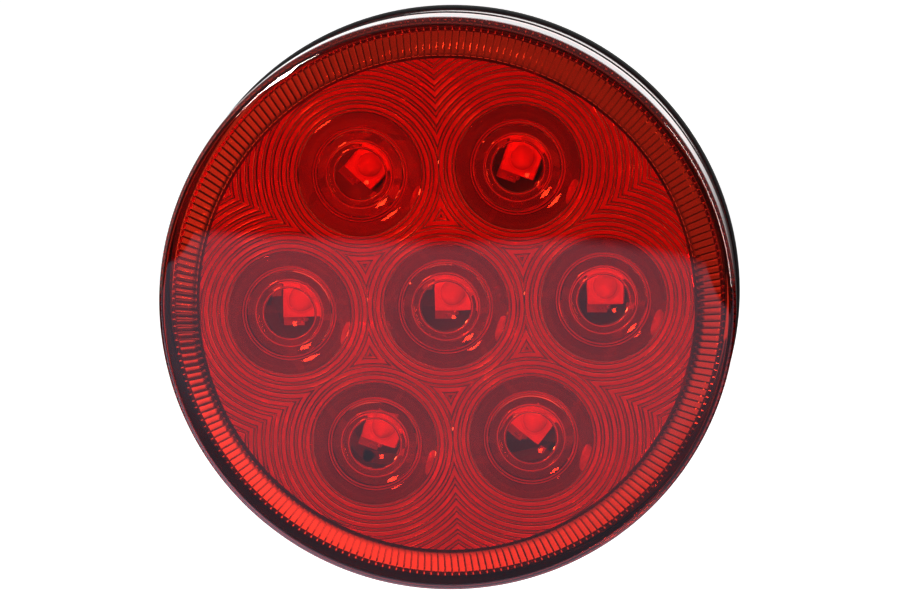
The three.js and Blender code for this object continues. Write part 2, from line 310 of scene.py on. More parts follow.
def make_lens():
    s = Shell()
    rim_points = {}
    rays = 120
    spokes = [(math.cos(2 * math.pi * i / rays), math.sin(2 * math.pi * i / rays)) for i in range(rays)]
    for c, (cx, cz) in enumerate(CENTRES):
        sides, corners = fences(c)
        round_edge = c > 0

        def beyond(p):
            return math.hypot(p[0] + cx, p[1] + cz) - OPTIC_LIMIT

        def put(p):
            x, z, h = p
            for kx, kz, kh in corners:
                if abs(x - kx) < 2e-4 and abs(z - kz) < 2e-4:
                    x, z, h = kx, kz, kh
            i = s.vert(cx + x, back(math.hypot(cx + x, cz + z)) + h, cz + z)
            if round_edge and abs(beyond((x, z))) < 1e-4:
                rim_points[i] = math.atan2(cz + z, cx + x) % (2 * math.pi)
            return i

        for i in range(rays):
            (c0, s0), (c1, s1) = spokes[i], spokes[(i + 1) % rays]
            for (ra, ha, _), (rb, hb, slot) in zip(PROFILE, PROFILE[1:]):
                poly = [(ra * c0, ra * s0, ha), (rb * c0, rb * s0, hb), (rb * c1, rb * s1, hb), (ra * c1, ra * s1, ha)]
                if ra == 0.0:
                    poly = poly[:3]
                if rb > 14.5:
                    far = min(p[0] * p[0] + p[1] * p[1] for p in poly)
                    if far > 26.9 ** 2:
                        break
                    for nx, nz, d in sides:
                        side = lambda p: d - (p[0] * nx + p[1] * nz)
                        if min(side(p) for p in poly) < -1e-9:
                            poly = clip(poly, lambda p: side(p) >= -1e-9, lambda p, q: side(p) / (side(p) - side(q)))
                            if not poly:
                                break
                    if round_edge and poly and max(beyond(p) for p in poly) > 1e-7:
                        def leave(p, q):
                            lo, hi = 0.0, 1.0
                            flip = beyond(p) > 0
                            for _ in range(44):
                                mid = (lo + hi) / 2
                                m = (p[0] + (q[0] - p[0]) * mid, p[1] + (q[1] - p[1]) * mid)
                                if (beyond(m) > 0) != flip:
                                    hi = mid
                                else:
                                    lo = mid
                            return (lo + hi) / 2
                        poly = clip(poly, lambda p: beyond(p) <= 1e-7, leave)
                    if len(poly) < 3:
                        continue
                s.face([put(p) for p in poly], slot)
    # wall that drops from the teeth to the plain land
    order = sorted(rim_points, key=rim_points.get)
    angles = [rim_points[i] for i in order]
    land_y = back(47.2)
    low = s.ring(OPTIC_LIMIT + 0.03, land_y, angles)
    s.bridge(order, low, CLEAR)
    # flutes: rounded ribs side by side across the bevel
    LOBE = [(0.0, 0.0), (0.085, 0.33), (0.135, 0.87), (0.5, 1.0), (0.865, 0.87), (0.915, 0.33)]
    fa = [2 * math.pi * (i + q) / FLUTES for i in range(FLUTES) for q, _ in LOBE]
    fw = [w for i in range(FLUTES) for _, w in LOBE]

    def bevel_ring(q, amount, point=0.0):
        out = []
        for a, w in zip(fa, fw):
            rr = LAND_END + (FLUTE_END - LAND_END) * q - point * (1 - w)
            yy = land_y + FLUTE_DEPTH * q - point * (1 - w)
            rr_, yy_ = rr - 0.7 * amount * w, yy + 0.7 * amount * w
            out.append(s.vert(rr_ * math.cos(a), yy_, rr_ * math.sin(a)))
        return out

    land = s.ring(LAND_END - 0.34, land_y, fa)
    s.zip(low, angles, land, fa, CLEAR)
    first = bevel_ring(0.0, 0.34)
    s.bridge(land, first, CLEAR)
    rows = [first] + [bevel_ring(q, 0.34) for q in (0.3, 0.62, 0.92)]
    tip = []
    for a, w in zip(fa, fw):
        rr, yy = FLUTE_END - 0.34 + 0.34 * w, land_y + FLUTE_DEPTH * 0.985 + 0.06 * w
        tip.append(s.vert(rr * math.cos(a), yy, rr * math.sin(a)))
    rows.append(tip)
    # The gaps between flutes take the SHADE slot: painted shade.
    for a, b in zip(rows, rows[1:]):
        n = len(a)
        for i in range(n):
            k = i % len(LOBE)
            s.face((a[i], a[(i + 1) % n], b[(i + 1) % n], b[i]), SHADE if k in (0, len(LOBE) - 1) else CLEAR if k in (1, len(LOBE) - 2) else FLUTE)
    # skirt and front, turned
    n = 360
    ca = circle(n)
    inner_r = RIM_R - 2.3
    foot_y = land_y + FLUTE_DEPTH + 0.25
    inner = s.ring(inner_r, foot_y, fa)
    # The wall from the flute tips to the skirt takes the SHADE slot: painted shade.
    s.bridge(tip, inner, SHADE)
    start_ring = s.ring(inner_r, foot_y + 0.8, ca)
    s.zip(inner, fa, start_ring, ca)
    turned = [start_ring]
    end_y = -3.7
    for r1, y1 in [(inner_r, -14.5), (inner_r, end_y + -0.25), (inner_r + 0.25, end_y), (54.84, end_y), (55.08, end_y - 0.22), (54.72, -11.12), (54.97, -11.30),
                   (55.0, -11.5), (54.78, -17.0), (54.6, -21.5)]:
        turned.append(s.ring(r1, y1, ca))
    for i in range(0, 11):
        a = math.radians(90 - 80 * i / 10.0)
        turned.append(s.ring(CROWN_END + CORNER_R * math.sin(a), RIM_Y + CORNER_R - CORNER_R * math.cos(a), ca))
    for i in range(1, 15):
        rr = (CROWN_END + CORNER_R * math.sin(math.radians(10))) * (1 - i / 15)
        turned.append(s.ring(rr, front(rr), ca))
    for a, b in zip(turned, turned[1:]):
        s.bridge(a, b)
    centre = s.vert(0, APEX, 0)
    last = turned[-1]
    for i in range(n):
        s.face((last[i], last[(i + 1) % n], centre))
    return s.build("lens_red", sharp=24.0)


# ---------------------------------------------------------------- materials
def material(name):
    m = bpy.data.materials.new(name)
    m.use_nodes = True
    nt = m.node_tree
    for n_ in list(nt.nodes):
        nt.nodes.remove(n_)
    out = nt.nodes.new("ShaderNodeOutputMaterial")
    return m, nt, out


def node(nt, kind, **values):
    n_ = nt.nodes.new(kind)
    for k, v in values.items():
        if hasattr(n_, k):
            setattr(n_, k, v)
        else:
            n_.inputs[k].default_value = v
    return n_


def principled(nt, **values):
    p = nt.nodes.new("ShaderNodeBsdfPrincipled")
    for k, v in values.items():
        p.inputs[k].default_value = v
    return p


def red_plastic(name, clear_share, base, through=(0.80, 0.030, 0.007)):
    """Red polycarbonate. clear_share is how much of the light passes straight; the rest is scattered by the moulded texture."""
    m, nt, out = material(name)
    p = principled(nt, **{"Base Color": (*base, 1), "Roughness": 0.0, "IOR": 1.585, "Transmission Weight": clear_share})
    tc = node(nt, "ShaderNodeTexCoord")
    noise = node(nt, "ShaderNodeTexNoise")
    noise.inputs["Scale"].default_value = 420.0
    noise.inputs["Detail"].default_value = 3.0
    nt.links.new(tc.outputs["Object"], noise.inputs["Vector"])
    ramp = node(nt, "ShaderNodeMapRange")
    ramp.inputs["From Min"].default_value = 0.45
    ramp.inputs["From Max"].default_value = 0.75
    ramp.inputs["To Min"].default_value = 0.0
    ramp.inputs["To Max"].default_value = 0.035
    nt.links.new(noise.outputs["Fac"], ramp.inputs["Value"])
    nt.links.new(ramp.outputs["Result"], p.inputs["Roughness"])
    path = node(nt, "ShaderNodeLightPath")
    clear = node(nt, "ShaderNodeBsdfTransparent")
    clear.inputs["Color"].default_value = (*through, 1)
    mix = node(nt, "ShaderNodeMixShader")
    nt.links.new(path.outputs["Is Shadow Ray"], mix.inputs["Fac"])
    nt.links.new(p.outputs["BSDF"], mix.inputs[1])
    nt.links.new(clear.outputs["BSDF"], mix.inputs[2])
    nt.links.new(mix.outputs["Shader"], out.inputs["Surface"])
    return m


def speckled(name, dark, light, rough=(0.4, 0.6), scale=900.0, bump=0.02, metallic=0.0, coat=0.0, specular=0.5):
    m, nt, out = material(name)
    p = principled(nt, **{"Metallic": metallic, "Coat Weight": coat, "Specular IOR Level": specular})
    tc = node(nt, "ShaderNodeTexCoord")
    noise = node(nt, "ShaderNodeTexNoise")
    noise.inputs["Scale"].default_value = scale
    noise.inputs["Detail"].default_value = 5.0
    nt.links.new(tc.outputs["Object"], noise.inputs["Vector"])
    ramp = node(nt, "ShaderNodeValToRGB")
    ramp.color_ramp.elements[0].color = (*dark, 1)
    ramp.color_ramp.elements[1].color = (*light, 1)
    ramp.color_ramp.elements[0].position = 0.3
    ramp.color_ramp.elements[1].position = 0.7
    nt.links.new(noise.outputs["Fac"], ramp.inputs["Fac"])
    nt.links.new(ramp.outputs["Color"], p.inputs["Base Color"])
    mr = node(nt, "ShaderNodeMapRange")
    mr.inputs["To Min"].default_value, mr.inputs["To Max"].default_value = rough
    nt.links.new(noise.outputs["Fac"], mr.inputs["Value"])
    nt.links.new(mr.outputs["Result"], p.inputs["Roughness"])
    if bump:
        b = node(nt, "ShaderNodeBump")
        b.inputs["Strength"].default_value = bump
        b.inputs["Distance"].default_value = 0.0002
        nt.links.new(noise.outputs["Fac"], b.inputs["Height"])
        nt.links.new(b.outputs["Normal"], p.inputs["Normal"])
    nt.links.new(p.outputs["BSDF"], out.inputs["Surface"])
    return m


def dress(ob, mat):
    ob.data.materials.clear()
    ob.data.materials.append(mat)


RED = [red_plastic("red_polycarbonate", 1.0, (0.93, 0.032, 0.008)),
       red_plastic("red_polycarbonate_band", 0.5, (0.90, 0.058, 0.012)),
       red_plastic("red_polycarbonate_bead", 0.64, (0.90, 0.058, 0.012)),
       red_plastic("red_polycarbonate_inner", 0.88, (0.88, 0.050, 0.010)),
       red_plastic("red_polycarbonate_flute", 0.96, (0.93, 0.004, 0.028)),
       # The flank copy is tinted dark: painted shade on steep flanks and flute gaps.
       red_plastic("red_flank_painted_shade", 1.0, (0.18, 0.010, 0.005))]
BLACK = speckled("black_abs", (0.004, 0.0032, 0.0038), (0.009, 0.0070, 0.0082), (0.5, 0.65), 1500.0, 0.15, specular=0.06)
BOARD = speckled("solder_mask", (0.012, 0.013, 0.013), (0.030, 0.030, 0.028), (0.3, 0.5), 300.0, 0.05)
WHITE = speckled("white_package", (0.72, 0.70, 0.66), (0.85, 0.83, 0.80), (0.3, 0.45), 800.0, 0.02)
CHIP = speckled("moulded_chip", (0.02, 0.02, 0.022), (0.05, 0.05, 0.052), (0.45, 0.6), 2500.0, 0.1)
CAN = speckled("drawn_can", (0.55, 0.56, 0.58), (0.72, 0.73, 0.75), (0.2, 0.35), 700.0, 0.03, metallic=1.0)
BRASS = speckled("pin_brass", (0.62, 0.42, 0.16), (0.80, 0.60, 0.28), (0.18, 0.32), 600.0, 0.03, metallic=1.0)
EPOXY = speckled("black_epoxy", (0.008, 0.008, 0.009), (0.02, 0.02, 0.021), (0.15, 0.3), 120.0, 0.1)
SEAL = speckled("sealant", (0.012, 0.012, 0.012), (0.03, 0.03, 0.03), (0.6, 0.8), 900.0, 0.2)

lens = make_lens()
for m_ in RED:
    lens.data.materials.append(m_)
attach(lens, "root")
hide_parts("lens")

TIN = speckled("solder", (0.62, 0.61, 0.58), (0.80, 0.79, 0.76), (0.16, 0.30), 1200.0, 0.15, metallic=0.85)
LAND = speckled("tinned_land", (0.24, 0.225, 0.20), (0.36, 0.34, 0.31), (0.35, 0.5), 900.0, 0.08, metallic=0.2)
# pale pads; the ovals in this material are painted pools of light
PAD_AND_LIGHT_POOL = speckled("pale_pad_and_light_pool", (0.17, 0.16, 0.14), (0.40, 0.37, 0.33), (0.35, 0.5), 350.0, 0.08)
TRACE = speckled("masked_copper", (0.035, 0.033, 0.028), (0.065, 0.060, 0.050), (0.3, 0.45), 300.0, 0.05)
INK = speckled("board_ink", (0.55, 0.55, 0.53), (0.70, 0.70, 0.68), (0.5, 0.65), 1500.0, 0.05)
DIE = speckled("phosphor_well", (0.70, 0.66, 0.61), (0.84, 0.80, 0.75), (0.12, 0.2), 900.0, 0.02, coat=1.0)
RESIN = speckled("clear_dome", (0.78, 0.76, 0.72), (0.84, 0.82, 0.80), (0.05, 0.1), 500.0, 0.0, coat=1.0)
CERAMIC = speckled("resistor_ceramic", (0.60, 0.58, 0.55), (0.72, 0.70, 0.66), (0.4, 0.55), 900.0, 0.03)
SHELL_BLACK = speckled("black_abs_body", (0.014, 0.0135, 0.014), (0.032, 0.031, 0.032), (0.42, 0.6), 1800.0, 0.25, specular=0.45)
PLATING = speckled("pin_plating", (0.60, 0.46, 0.22), (0.78, 0.62, 0.34), (0.16, 0.28), 500.0, 0.04, metallic=1.0)

TOP = -8.9                                       # parts stand here, on the front of the board
TURNS = [0.04, 0.04, 0.40, 0.79, 0.04, 0.40, 0.70]


def local(cx, cz, turn, x, z):
    """A place given in an LED's own frame, as seen from the front."""
    return cx + x * math.cos(turn) + z * math.sin(turn), cz - x * math.sin(turn) + z * math.cos(turn)


def finish(piece, mats, name):
    for m_ in mats:
        piece.data.materials.append(m_)
    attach(piece, "root")
    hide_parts(name)


for i, ((cx, cz), turn) in enumerate(zip(CENTRES, TURNS)):
    s_ = Solids()
    s_.block((cx, TOP - 0.46, cz), (4.2, 0.86, 4.2), turn, 0.10, 0)
    s_.block((cx, TOP - 0.06, cz), (4.0, 0.10, 4.0), turn, 0.0, 3)
    s_.turned([(0.0, TOP - 0.95), (1.62, TOP - 0.95), (1.70, TOP - 0.90), (1.70, TOP - 0.60), (0.0, TOP - 0.60)], (cx, cz), 40, 1)
    s_.turned(dome(1.40, TOP - 0.94, 8) + [(1.40, TOP - 0.80), (0.0, TOP - 0.80)], (cx, cz), 40, 2)
    for x, z in ((-1.55, -1.55), (1.55, 1.55)):      # mark and gate on opposite corners
        px, pz = local(cx, cz, turn, x, z)
        s_.turned([(0.0, TOP - 0.905), (0.14, TOP - 0.905), (0.17, TOP - 0.88), (0.0, TOP - 0.88)], (px, pz), 14, 0)
    finish(s_.build("led_body_%d" % (i + 1)), [WHITE, DIE, RESIN, TIN], "led_%d" % (i + 1))

# board with its copper: lands, traces, solder, pale pads, and pale ovals that are painted pools of light
b_ = Solids()
b_.turned([(0.0, -8.8), (49.1, -8.8), (49.4, -8.6), (49.4, -7.4), (49.1, -7.2), (0.0, -7.2)], n=160)


def land(x, z, w, h, turn=0.0, mat=1, y=-8.8, t=0.07):
    b_.block((x, y - t / 2 + 0.01, z), (w, t, h), turn, 0.02, mat, 1)


def trace(points, w=0.9):
    for (x0, z0), (x1, z1) in zip(points, points[1:]):
        d_ = math.hypot(x1 - x0, z1 - z0)
        b_.block(((x0 + x1) / 2, -8.8 - 0.015, (z0 + z1) / 2), (d_ + w * 0.8, 0.05, w), -math.atan2(z1 - z0, x1 - x0), 0.0, 2)


for i, ((cx, cz), turn) in enumerate(zip(CENTRES, TURNS)):
    for x, z, w, h, m_ in [(-0.95, -2.62, 2.3, 1.04, 1), (2.75, -2.45, 0.75, 0.8, 4), (0.0, 2.75, 3.4, 1.0, 1), (-2.9, 0.9, 1.1, 1.6, 1)]:
        px, pz = local(cx, cz, turn, x, z)
        land(px, pz, w, h, turn, m_)
    px, pz = local(cx, cz, turn, -0.55, -2.70)
    b_.block((px, -8.93, pz), (0.72, 0.10, 0.34), turn, 0.02, 3, 1)
    px, pz = local(cx, cz, turn, 0.30, -2.45)
    b_.turned(dome(0.36, -8.82, 5, 0.30) + [(0.0, -8.82)], (px, pz), 16, 3)
    # pale oval at the lower right of each LED, joined by a trace: a painted pool of light where the lens focuses the
    # key lamp onto the board
    bx, bz = cx + 10.3, cz - 7.0
    if math.hypot(bx, bz) < 46.0:
        b_.turned([(0.0, -8.92), (2.45, -8.92), (2.55, -8.86), (2.55, -8.79), (0.0, -8.79)], (bx, bz), 32, 4, (0.8, 1.15))
        trace([(cx + 2.6, cz - 2.6), (cx + 6.8, cz - 2.8), (bx, bz)], 1.0)
for k in range(6):
    a, b2 = CENTRES[1 + k], CENTRES[1 + (k + 1) % 6]
    m_ = ((a[0] + b2[0]) / 2 * 1.28, (a[1] + b2[1]) / 2 * 1.28)
    trace([(a[0] * 1.14, a[1] * 1.14), m_, (b2[0] * 1.14, b2[1] * 1.14)], 1.4)
    trace([(a[0] * 0.22, a[1] * 0.22), (a[0] * 0.80, a[1] * 0.80)], 1.0)
    ang = math.pi / 6 + k * math.pi / 3
    ox, oz = 41.0 * math.cos(ang), 41.0 * math.sin(ang)
    for s1 in (-1, 1):
        land(ox - s1 * 2.9 * math.sin(ang), oz + s1 * 2.9 * math.cos(ang), 1.9, 3.4, -(ang) + math.pi / 2)
for k in range(8):
    ang = math.pi / 8 + k * math.pi / 4
    b_.turned([(0.0, -8.87), (1.9, -8.87), (1.95, -8.82), (1.95, -8.79), (0.0, -8.79)], (46.9 * math.cos(ang), 46.9 * math.sin(ang)), 28, 2)
    if k % 2 == 0:                                   # heads of the staked pegs
        b_.turned([(0.0, -9.8), (1.0, -9.8), (1.2, -9.6), (1.2, -8.8), (0.0, -8.8)], (46.9 * math.cos(ang), 46.9 * math.sin(ang)), 24, 5)
for x, z in ((-9.4, 0.0), (0.0, -6.0), (9.4, 0.0)):  # coated joints of the terminals
    b_.turned(dome(1.3, -9.0, 5, 1.0) + [(1.5, -8.86), (1.8, -8.80), (0.0, -8.80)], (x, z), 28, 2)
finish(b_.build("board_with_copper"), [BOARD, LAND, TRACE, TIN, PAD_AND_LIGHT_POOL, SHELL_BLACK], "circuit_board")

# driver parts
gap_at = lambda k: (PITCH / math.sqrt(3) * math.cos(math.pi / 6 + k * math.pi / 3), PITCH / math.sqrt(3) * math.sin(math.pi / 6 + k * math.pi / 3))
for k in range(6):
    ang = math.pi / 6 + k * math.pi / 3
    ox, oz, turn = 41.0 * math.cos(ang), 41.0 * math.sin(ang), -ang + math.pi / 2
    s_ = Solids()
    s_.block((ox, TOP - 0.33, oz), (5.4, 0.60, 3.1), turn, 0.05, 0)
    s_.block((ox, TOP - 0.655, oz), (4.4, 0.07, 2.7), turn, 0.02, 1)
    for s1 in (-1, 1):
        px, pz = local(ox, oz, turn, s1 * 2.8, 0.0)
        s_.block((px, TOP - 0.34, pz), (0.72, 0.66, 3.2), turn, 0.10, 2)
    finish(s_.build("resistor_body_%d" % (k + 1)), [CERAMIC, CHIP, TIN], "resistor_%d" % (k + 1))


def chip(piece, name, x, z, w, h, d, leads, cut=0.35):
    s_ = Solids()
    s_.block((x, TOP - d / 2 - 0.04, z), (w - 1.0, d - 0.08, h), 0.0, 0.14, 0)
    for lx, lz, lw, lh in leads:
        s_.block((x + lx, TOP - 0.16, z + lz), (lw, 0.26, lh), 0.0, 0.06, 1)
    s_.block((x - (w - 1.0) / 2 + cut + 0.25, TOP - d - 0.0, z), (0.45, 0.05, h - 0.6), 0.0, 0.0, 2)
    finish(s_.build(piece), [CHIP, TIN, INK], name)


x, z = gap_at(0)
chip("diode_stop_body", "diode_stop", x, z, 4.4, 2.7, 2.1, [(-1.75, 0, 0.9, 1.5), (1.75, 0, 0.9, 1.5)])
x, z = gap_at(2)
chip("diode_tail_body", "diode_tail", x, z, 4.4, 2.7, 2.1, [(-1.75, 0, 0.9, 1.5), (1.75, 0, 0.9, 1.5)])
x, z = gap_at(5)
chip("surge_suppressor_body", "surge_suppressor", x, z, 4.6, 3.8, 2.2, [(-1.85, 0, 0.9, 2.2), (1.85, 0, 0.9, 2.2)])
x, z = gap_at(3)
s_ = Solids()
s_.block((x, TOP - 1.15, z), (6.5, 2.2, 6.0), 0.0, 0.18, 0)
s_.block((x, TOP - 0.30, z + 3.6), (5.2, 0.56, 1.6), 0.0, 0.08, 1)
for lx in (-2.3, 0.0, 2.3):
    s_.block((x + lx, TOP - 0.30, z - 2.75), (0.9, 0.5, 0.6), 0.0, 0.08, 1)
s_.turned([(0.0, TOP - 2.29), (0.45, TOP - 2.29), (0.5, TOP - 2.2), (0.0, TOP - 2.2)], (x - 2.3, z + 2.0), 20, 2)
finish(s_.build("regulator_body"), [CHIP, TIN, INK], "current_regulator")
x, z = gap_at(1)
s_ = Solids()
s_.turned([(0.0, TOP - 5.45), (2.35, TOP - 5.45), (2.5, TOP - 5.58), (2.7, TOP - 5.58), (2.92, TOP - 5.42), (3.0, TOP - 5.15), (3.0, TOP - 2.3), (2.86, TOP - 2.1),
           (2.86, TOP - 1.85), (3.0, TOP - 1.65), (3.0, TOP - 0.92), (0.0, TOP - 0.92)], (x, z), 48, 0)
s_.block((x, TOP - 0.45, z), (6.6, 0.84, 6.6), 0.0, 0.22, 1)
s_.block((x - 1.6, TOP - 5.46, z), (1.5, 0.04, 3.2), 0.0, 0.0, 2)
finish(s_.build("capacitor_can"), [CAN, CHIP, CHIP], "capacitor")

# pins: turned and rounded, on collars in the well's floor
for name, x, tail in (("pin_stop_turn", -9.4, 0.0), ("pin_ground", 0.0, -6.0), ("pin_tail", 9.4, 0.0)):
    s_ = Solids()
    s_.turned([(0.0, 15.6), (0.45, 15.58), (0.95, 15.42), (1.40, 15.05), (1.72, 14.5), (1.88, 13.9), (1.9, 13.2), (1.9, 7.4), (1.78, 7.25), (1.78, 6.95), (1.9, 6.8), (1.9, 5.5),
               (0.9, 5.45), (0.9, -9.7 if tail == 0.0 else -5.6), (0.0, -9.8 if tail == 0.0 else -5.7)], (x, 0.0), 40, 0)
    if tail:
        s_.block((x, -5.0, tail / 2), (1.4, 1.4, abs(tail)), 0.0, 0.2, 0)
        s_.turned([(0.0, -9.8), (0.7, -9.75), (0.9, -9.6), (0.9, -4.3), (0.8, -4.2), (0.0, -4.2)], (x, tail), 28, 0)
    finish(s_.build(name + "_turned"), [PLATING], name)


# housing, closed all round: turned body, rear wall that runs into the boss, and the well with its keyway
def outline(grow, notch):
    """The boss's rounded outline as (x, z), rising in angle, with the keyway's corners in it."""
    w, h, rr = 17.5 + grow, 9.5 + grow, 5.0 + grow
    pts = []
    for qx, qz, a0 in ((1, 1, 0), (-1, 1, 90), (-1, -1, 180), (1, -1, 270)):
        for i in range(9):
            a = math.radians(a0 + 90 * i / 8)
            pts.append((qx * (w - rr) + rr * math.cos(a), qz * (h - rr) + rr * math.sin(a)))
        if a0 == 0:
            for kx, deep in ((7.0, 0), (2.5, 0), (2.5, 1), (-2.5, 1), (-2.5, 0), (-7.0, 0)):
                pts.append((kx, h + (1.2 if deep and notch else 0.0)))
    pts = sorted(((math.atan2(z_, x_) % (2 * math.pi), x_, z_) for x_, z_ in pts))
    return pts


def make_housing():
    s = Shell()
    n = 192
    ca = circle(n)
    out_pts, in_pts, in_notch = outline(0.0, False), outline(-2.2, False), outline(-2.2, True)
    put = lambda pts, y, grow=0.0: [s.vert(x_ * (1 + grow / 17.5), y, z_ * (1 + grow / 9.5)) for _, x_, z_ in pts]
    ang = lambda pts: [a_ for a_, _, _ in pts]
    # rear face of the body, out from the boss
    foot = put(out_pts, 8.5, 0.7)
    fillet = put(out_pts, 8.7, 0.25)
    rise = put(out_pts, 9.1, 0.0)
    lip0, lip1 = put(out_pts, 17.1, 0.0), put(out_pts, 17.4, -0.12)
    lip2 = put(out_pts, 17.5, -0.45)
    turned = [(42.4, 8.5), (43.1, 8.42), (43.7, 8.1), (44.15, 7.6), (44.4, 7.0), (46.0, 0.5), (46.25, 0.12), (46.7, 0.0),
              (54.9, 0.0), (55.4, -0.15), (FLANGE_R - 0.06, -0.5), (FLANGE_R, -0.9), (FLANGE_R, -1.3), (FLANGE_R - 0.03, -1.7), (FLANGE_R - 0.13, -2.35), (FLANGE_R - 0.30, -2.95), (FLANGE_R - 0.55, -3.4),
              (53.75, -3.4), (53.75, -2.1), (52.35, -2.1), (52.35, -3.4), (51.8, -3.4), (51.8, -13.6), (51.65, -13.9), (51.3, -14.0),
              (50.2, -14.0), (50.0, -13.8), (50.0, -2.5), (49.7, -2.2), (44.3, -2.2), (44.0, -1.9), (44.0, 0.0), (43.0, 6.0), (42.7, 6.3)]
    rows = [s.ring(r_, y_, ca) for r_, y_ in turned]
    s.zip(foot, ang(out_pts), rows[0], ca)
    for a_, b_ in zip(rows, rows[1:]):
        s.bridge(a_, b_)
    for a_, b_ in zip([foot, fillet, rise, lip0, lip1], [fillet, rise, lip0, lip1, lip2]):
        s.bridge(a_, b_)
    # rim of the boss, the well, its floor
    rim_in = put(in_notch, 17.5, 0.3)
    s.zip(lip2, ang(out_pts), rim_in, ang(in_notch))
    well = [rim_in, put(in_notch, 17.2), put(in_notch, 14.5), put(in_pts, 14.5), put(in_pts, 5.6), put(in_pts, 5.2, -0.35)]
    for a_, b_ in zip(well, well[1:]):
        s.bridge(a_, b_)
    c_ = s.vert(0, 5.2, 0)
    last = well[-1]
    for i in range(len(last)):
        s.face((last[i], last[(i + 1) % len(last)], c_))
    # inside of the rear wall
    inner_foot = put(out_pts, 6.3)
    inner_floor = put(out_pts, 3.0)
    s.zip(rows[-1], ca, inner_foot, ang(out_pts))
    s.bridge(inner_foot, inner_floor)
    c2 = s.vert(0, 3.0, 0)
    for i in range(len(inner_floor)):
        s.face((inner_floor[i], inner_floor[(i + 1) % len(inner_floor)], c2))
    return s.build("housing_shell", sharp=40.0)


FLANGE_R = 55.75
shell = make_housing()
# ribs, collars round the pins, board posts
r_ = Solids()
for k in range(8):
    a = math.pi / 4 * k + math.pi / 8
    mid = 32.6
    r_.block((mid * math.cos(a), 8.85, -mid * math.sin(a)), (17.0, 1.3, 1.8), a, 0.35, 0, 3)
    r_.block((47.6 * math.cos(-math.pi / 8 - math.pi / 4 * k), (-6.9 - 1.6) / 2, 47.6 * math.sin(-math.pi / 8 - math.pi / 4 * k)), (5.2, 5.2, 2.8), math.pi / 8 + math.pi / 4 * k, 0.2, 0, 2)
for x in (-9.4, 0.0, 9.4):
    r_.turned([(1.93, 5.0), (2.9, 5.0), (2.9, 5.7), (2.65, 5.95), (2.1, 5.95), (1.93, 5.8), (1.93, 5.0)], (x, 0.0), 36, 0)
ribs = r_.build("housing_ribs")
bm = bmesh.new()
bm.from_mesh(shell.data)
bm.from_mesh(ribs.data)
bm.to_mesh(shell.data)
bm.free()
bpy.data.objects.remove(ribs, do_unlink=True)
finish(shell, [SHELL_BLACK], "housing")
flange_mat = len(shell.data.materials)
shell.data.materials.append(BLACK)
for p_ in shell.data.polygons:
    c_ = p_.center / MM
    if math.hypot(c_.x, c_.z) > 46.2 and c_.y < -0.06:
        p_.material_index = flange_mat
dress(NODES["potting"], EPOXY)
dress(NODES["lens_sealant"], SEAL)

# -------------------------------------------------------------------- stage
FRONT_FLOOR, NEAR_LEFT, NEAR_RIGHT = 0.62, 1.75, 0.55
scene = bpy.context.scene
scene.view_settings.view_transform = "Standard"
world = bpy.data.worlds.new("studio")
scene.world = world
world.use_nodes = True
wt = world.node_tree
for n_ in list(wt.nodes):
    wt.nodes.remove(n_)
w_out = wt.nodes.new("ShaderNodeOutputWorld")
tc = wt.nodes.new("ShaderNodeTexCoord")
sep = wt.nodes.new("ShaderNodeSeparateXYZ")
wt.links.new(tc.outputs["Generated"], sep.inputs["Vector"])
# bright above and behind the lamp, dim towards the viewer and at the sides


def ramp_of(socket, lo, hi, to_lo, to_hi):
    n_ = wt.nodes.new("ShaderNodeMapRange")
    n_.interpolation_type = "SMOOTHSTEP"
    n_.inputs["From Min"].default_value, n_.inputs["From Max"].default_value = lo, hi
    n_.inputs["To Min"].default_value, n_.inputs["To Max"].default_value = to_lo, to_hi
    wt.links.new(socket, n_.inputs["Value"])
    return n_.outputs["Result"]


def times(a_, b_, kind="MULTIPLY"):
    n_ = wt.nodes.new("ShaderNodeMath")
    n_.operation = kind
    wt.links.new(a_, n_.inputs[0])
    if isinstance(b_, float):
        n_.inputs[1].default_value = b_
    else:
        wt.links.new(b_, n_.inputs[1])
    return n_.outputs["Value"]


rear = ramp_of(sep.outputs["Y"], 0.50, 0.85, 0.0, 1.0)
high = ramp_of(sep.outputs["Z"], -0.12, 0.03, 0.0, 1.0)
side = times(ramp_of(sep.outputs["Y"], -0.35, -0.18, 0.0, 1.0), ramp_of(sep.outputs["Y"], 0.25, 0.5, 1.0, 0.0))
left = ramp_of(sep.outputs["X"], -0.9, -0.4, 0.48, 0.22)
above = times(ramp_of(sep.outputs["Z"], 0.25, 0.60, 0.0, 0.20), ramp_of(sep.outputs["Y"], -0.30, -0.20, 1.0, 0.0))
glow = times(times(times(times(times(rear, high), 1.4), times(side, left), "ADD"), above, "ADD"), 0.04, "ADD")
bg = wt.nodes.new("ShaderNodeBackground")
bg.inputs["Color"].default_value = (1, 1, 1, 1)
wt.links.new(glow, bg.inputs["Strength"])
seen = wt.nodes.new("ShaderNodeBackground")
seen.inputs["Color"].default_value = (1, 1, 1, 1)
seen.inputs["Strength"].default_value = 1.1
lp = wt.nodes.new("ShaderNodeLightPath")
mx = wt.nodes.new("ShaderNodeMixShader")
wt.links.new(lp.outputs["Is Camera Ray"], mx.inputs["Fac"])
wt.links.new(bg.outputs["Background"], mx.inputs[1])
wt.links.new(seen.outputs["Background"], mx.inputs[2])
wt.links.new(mx.outputs["Shader"], w_out.inputs["Surface"])

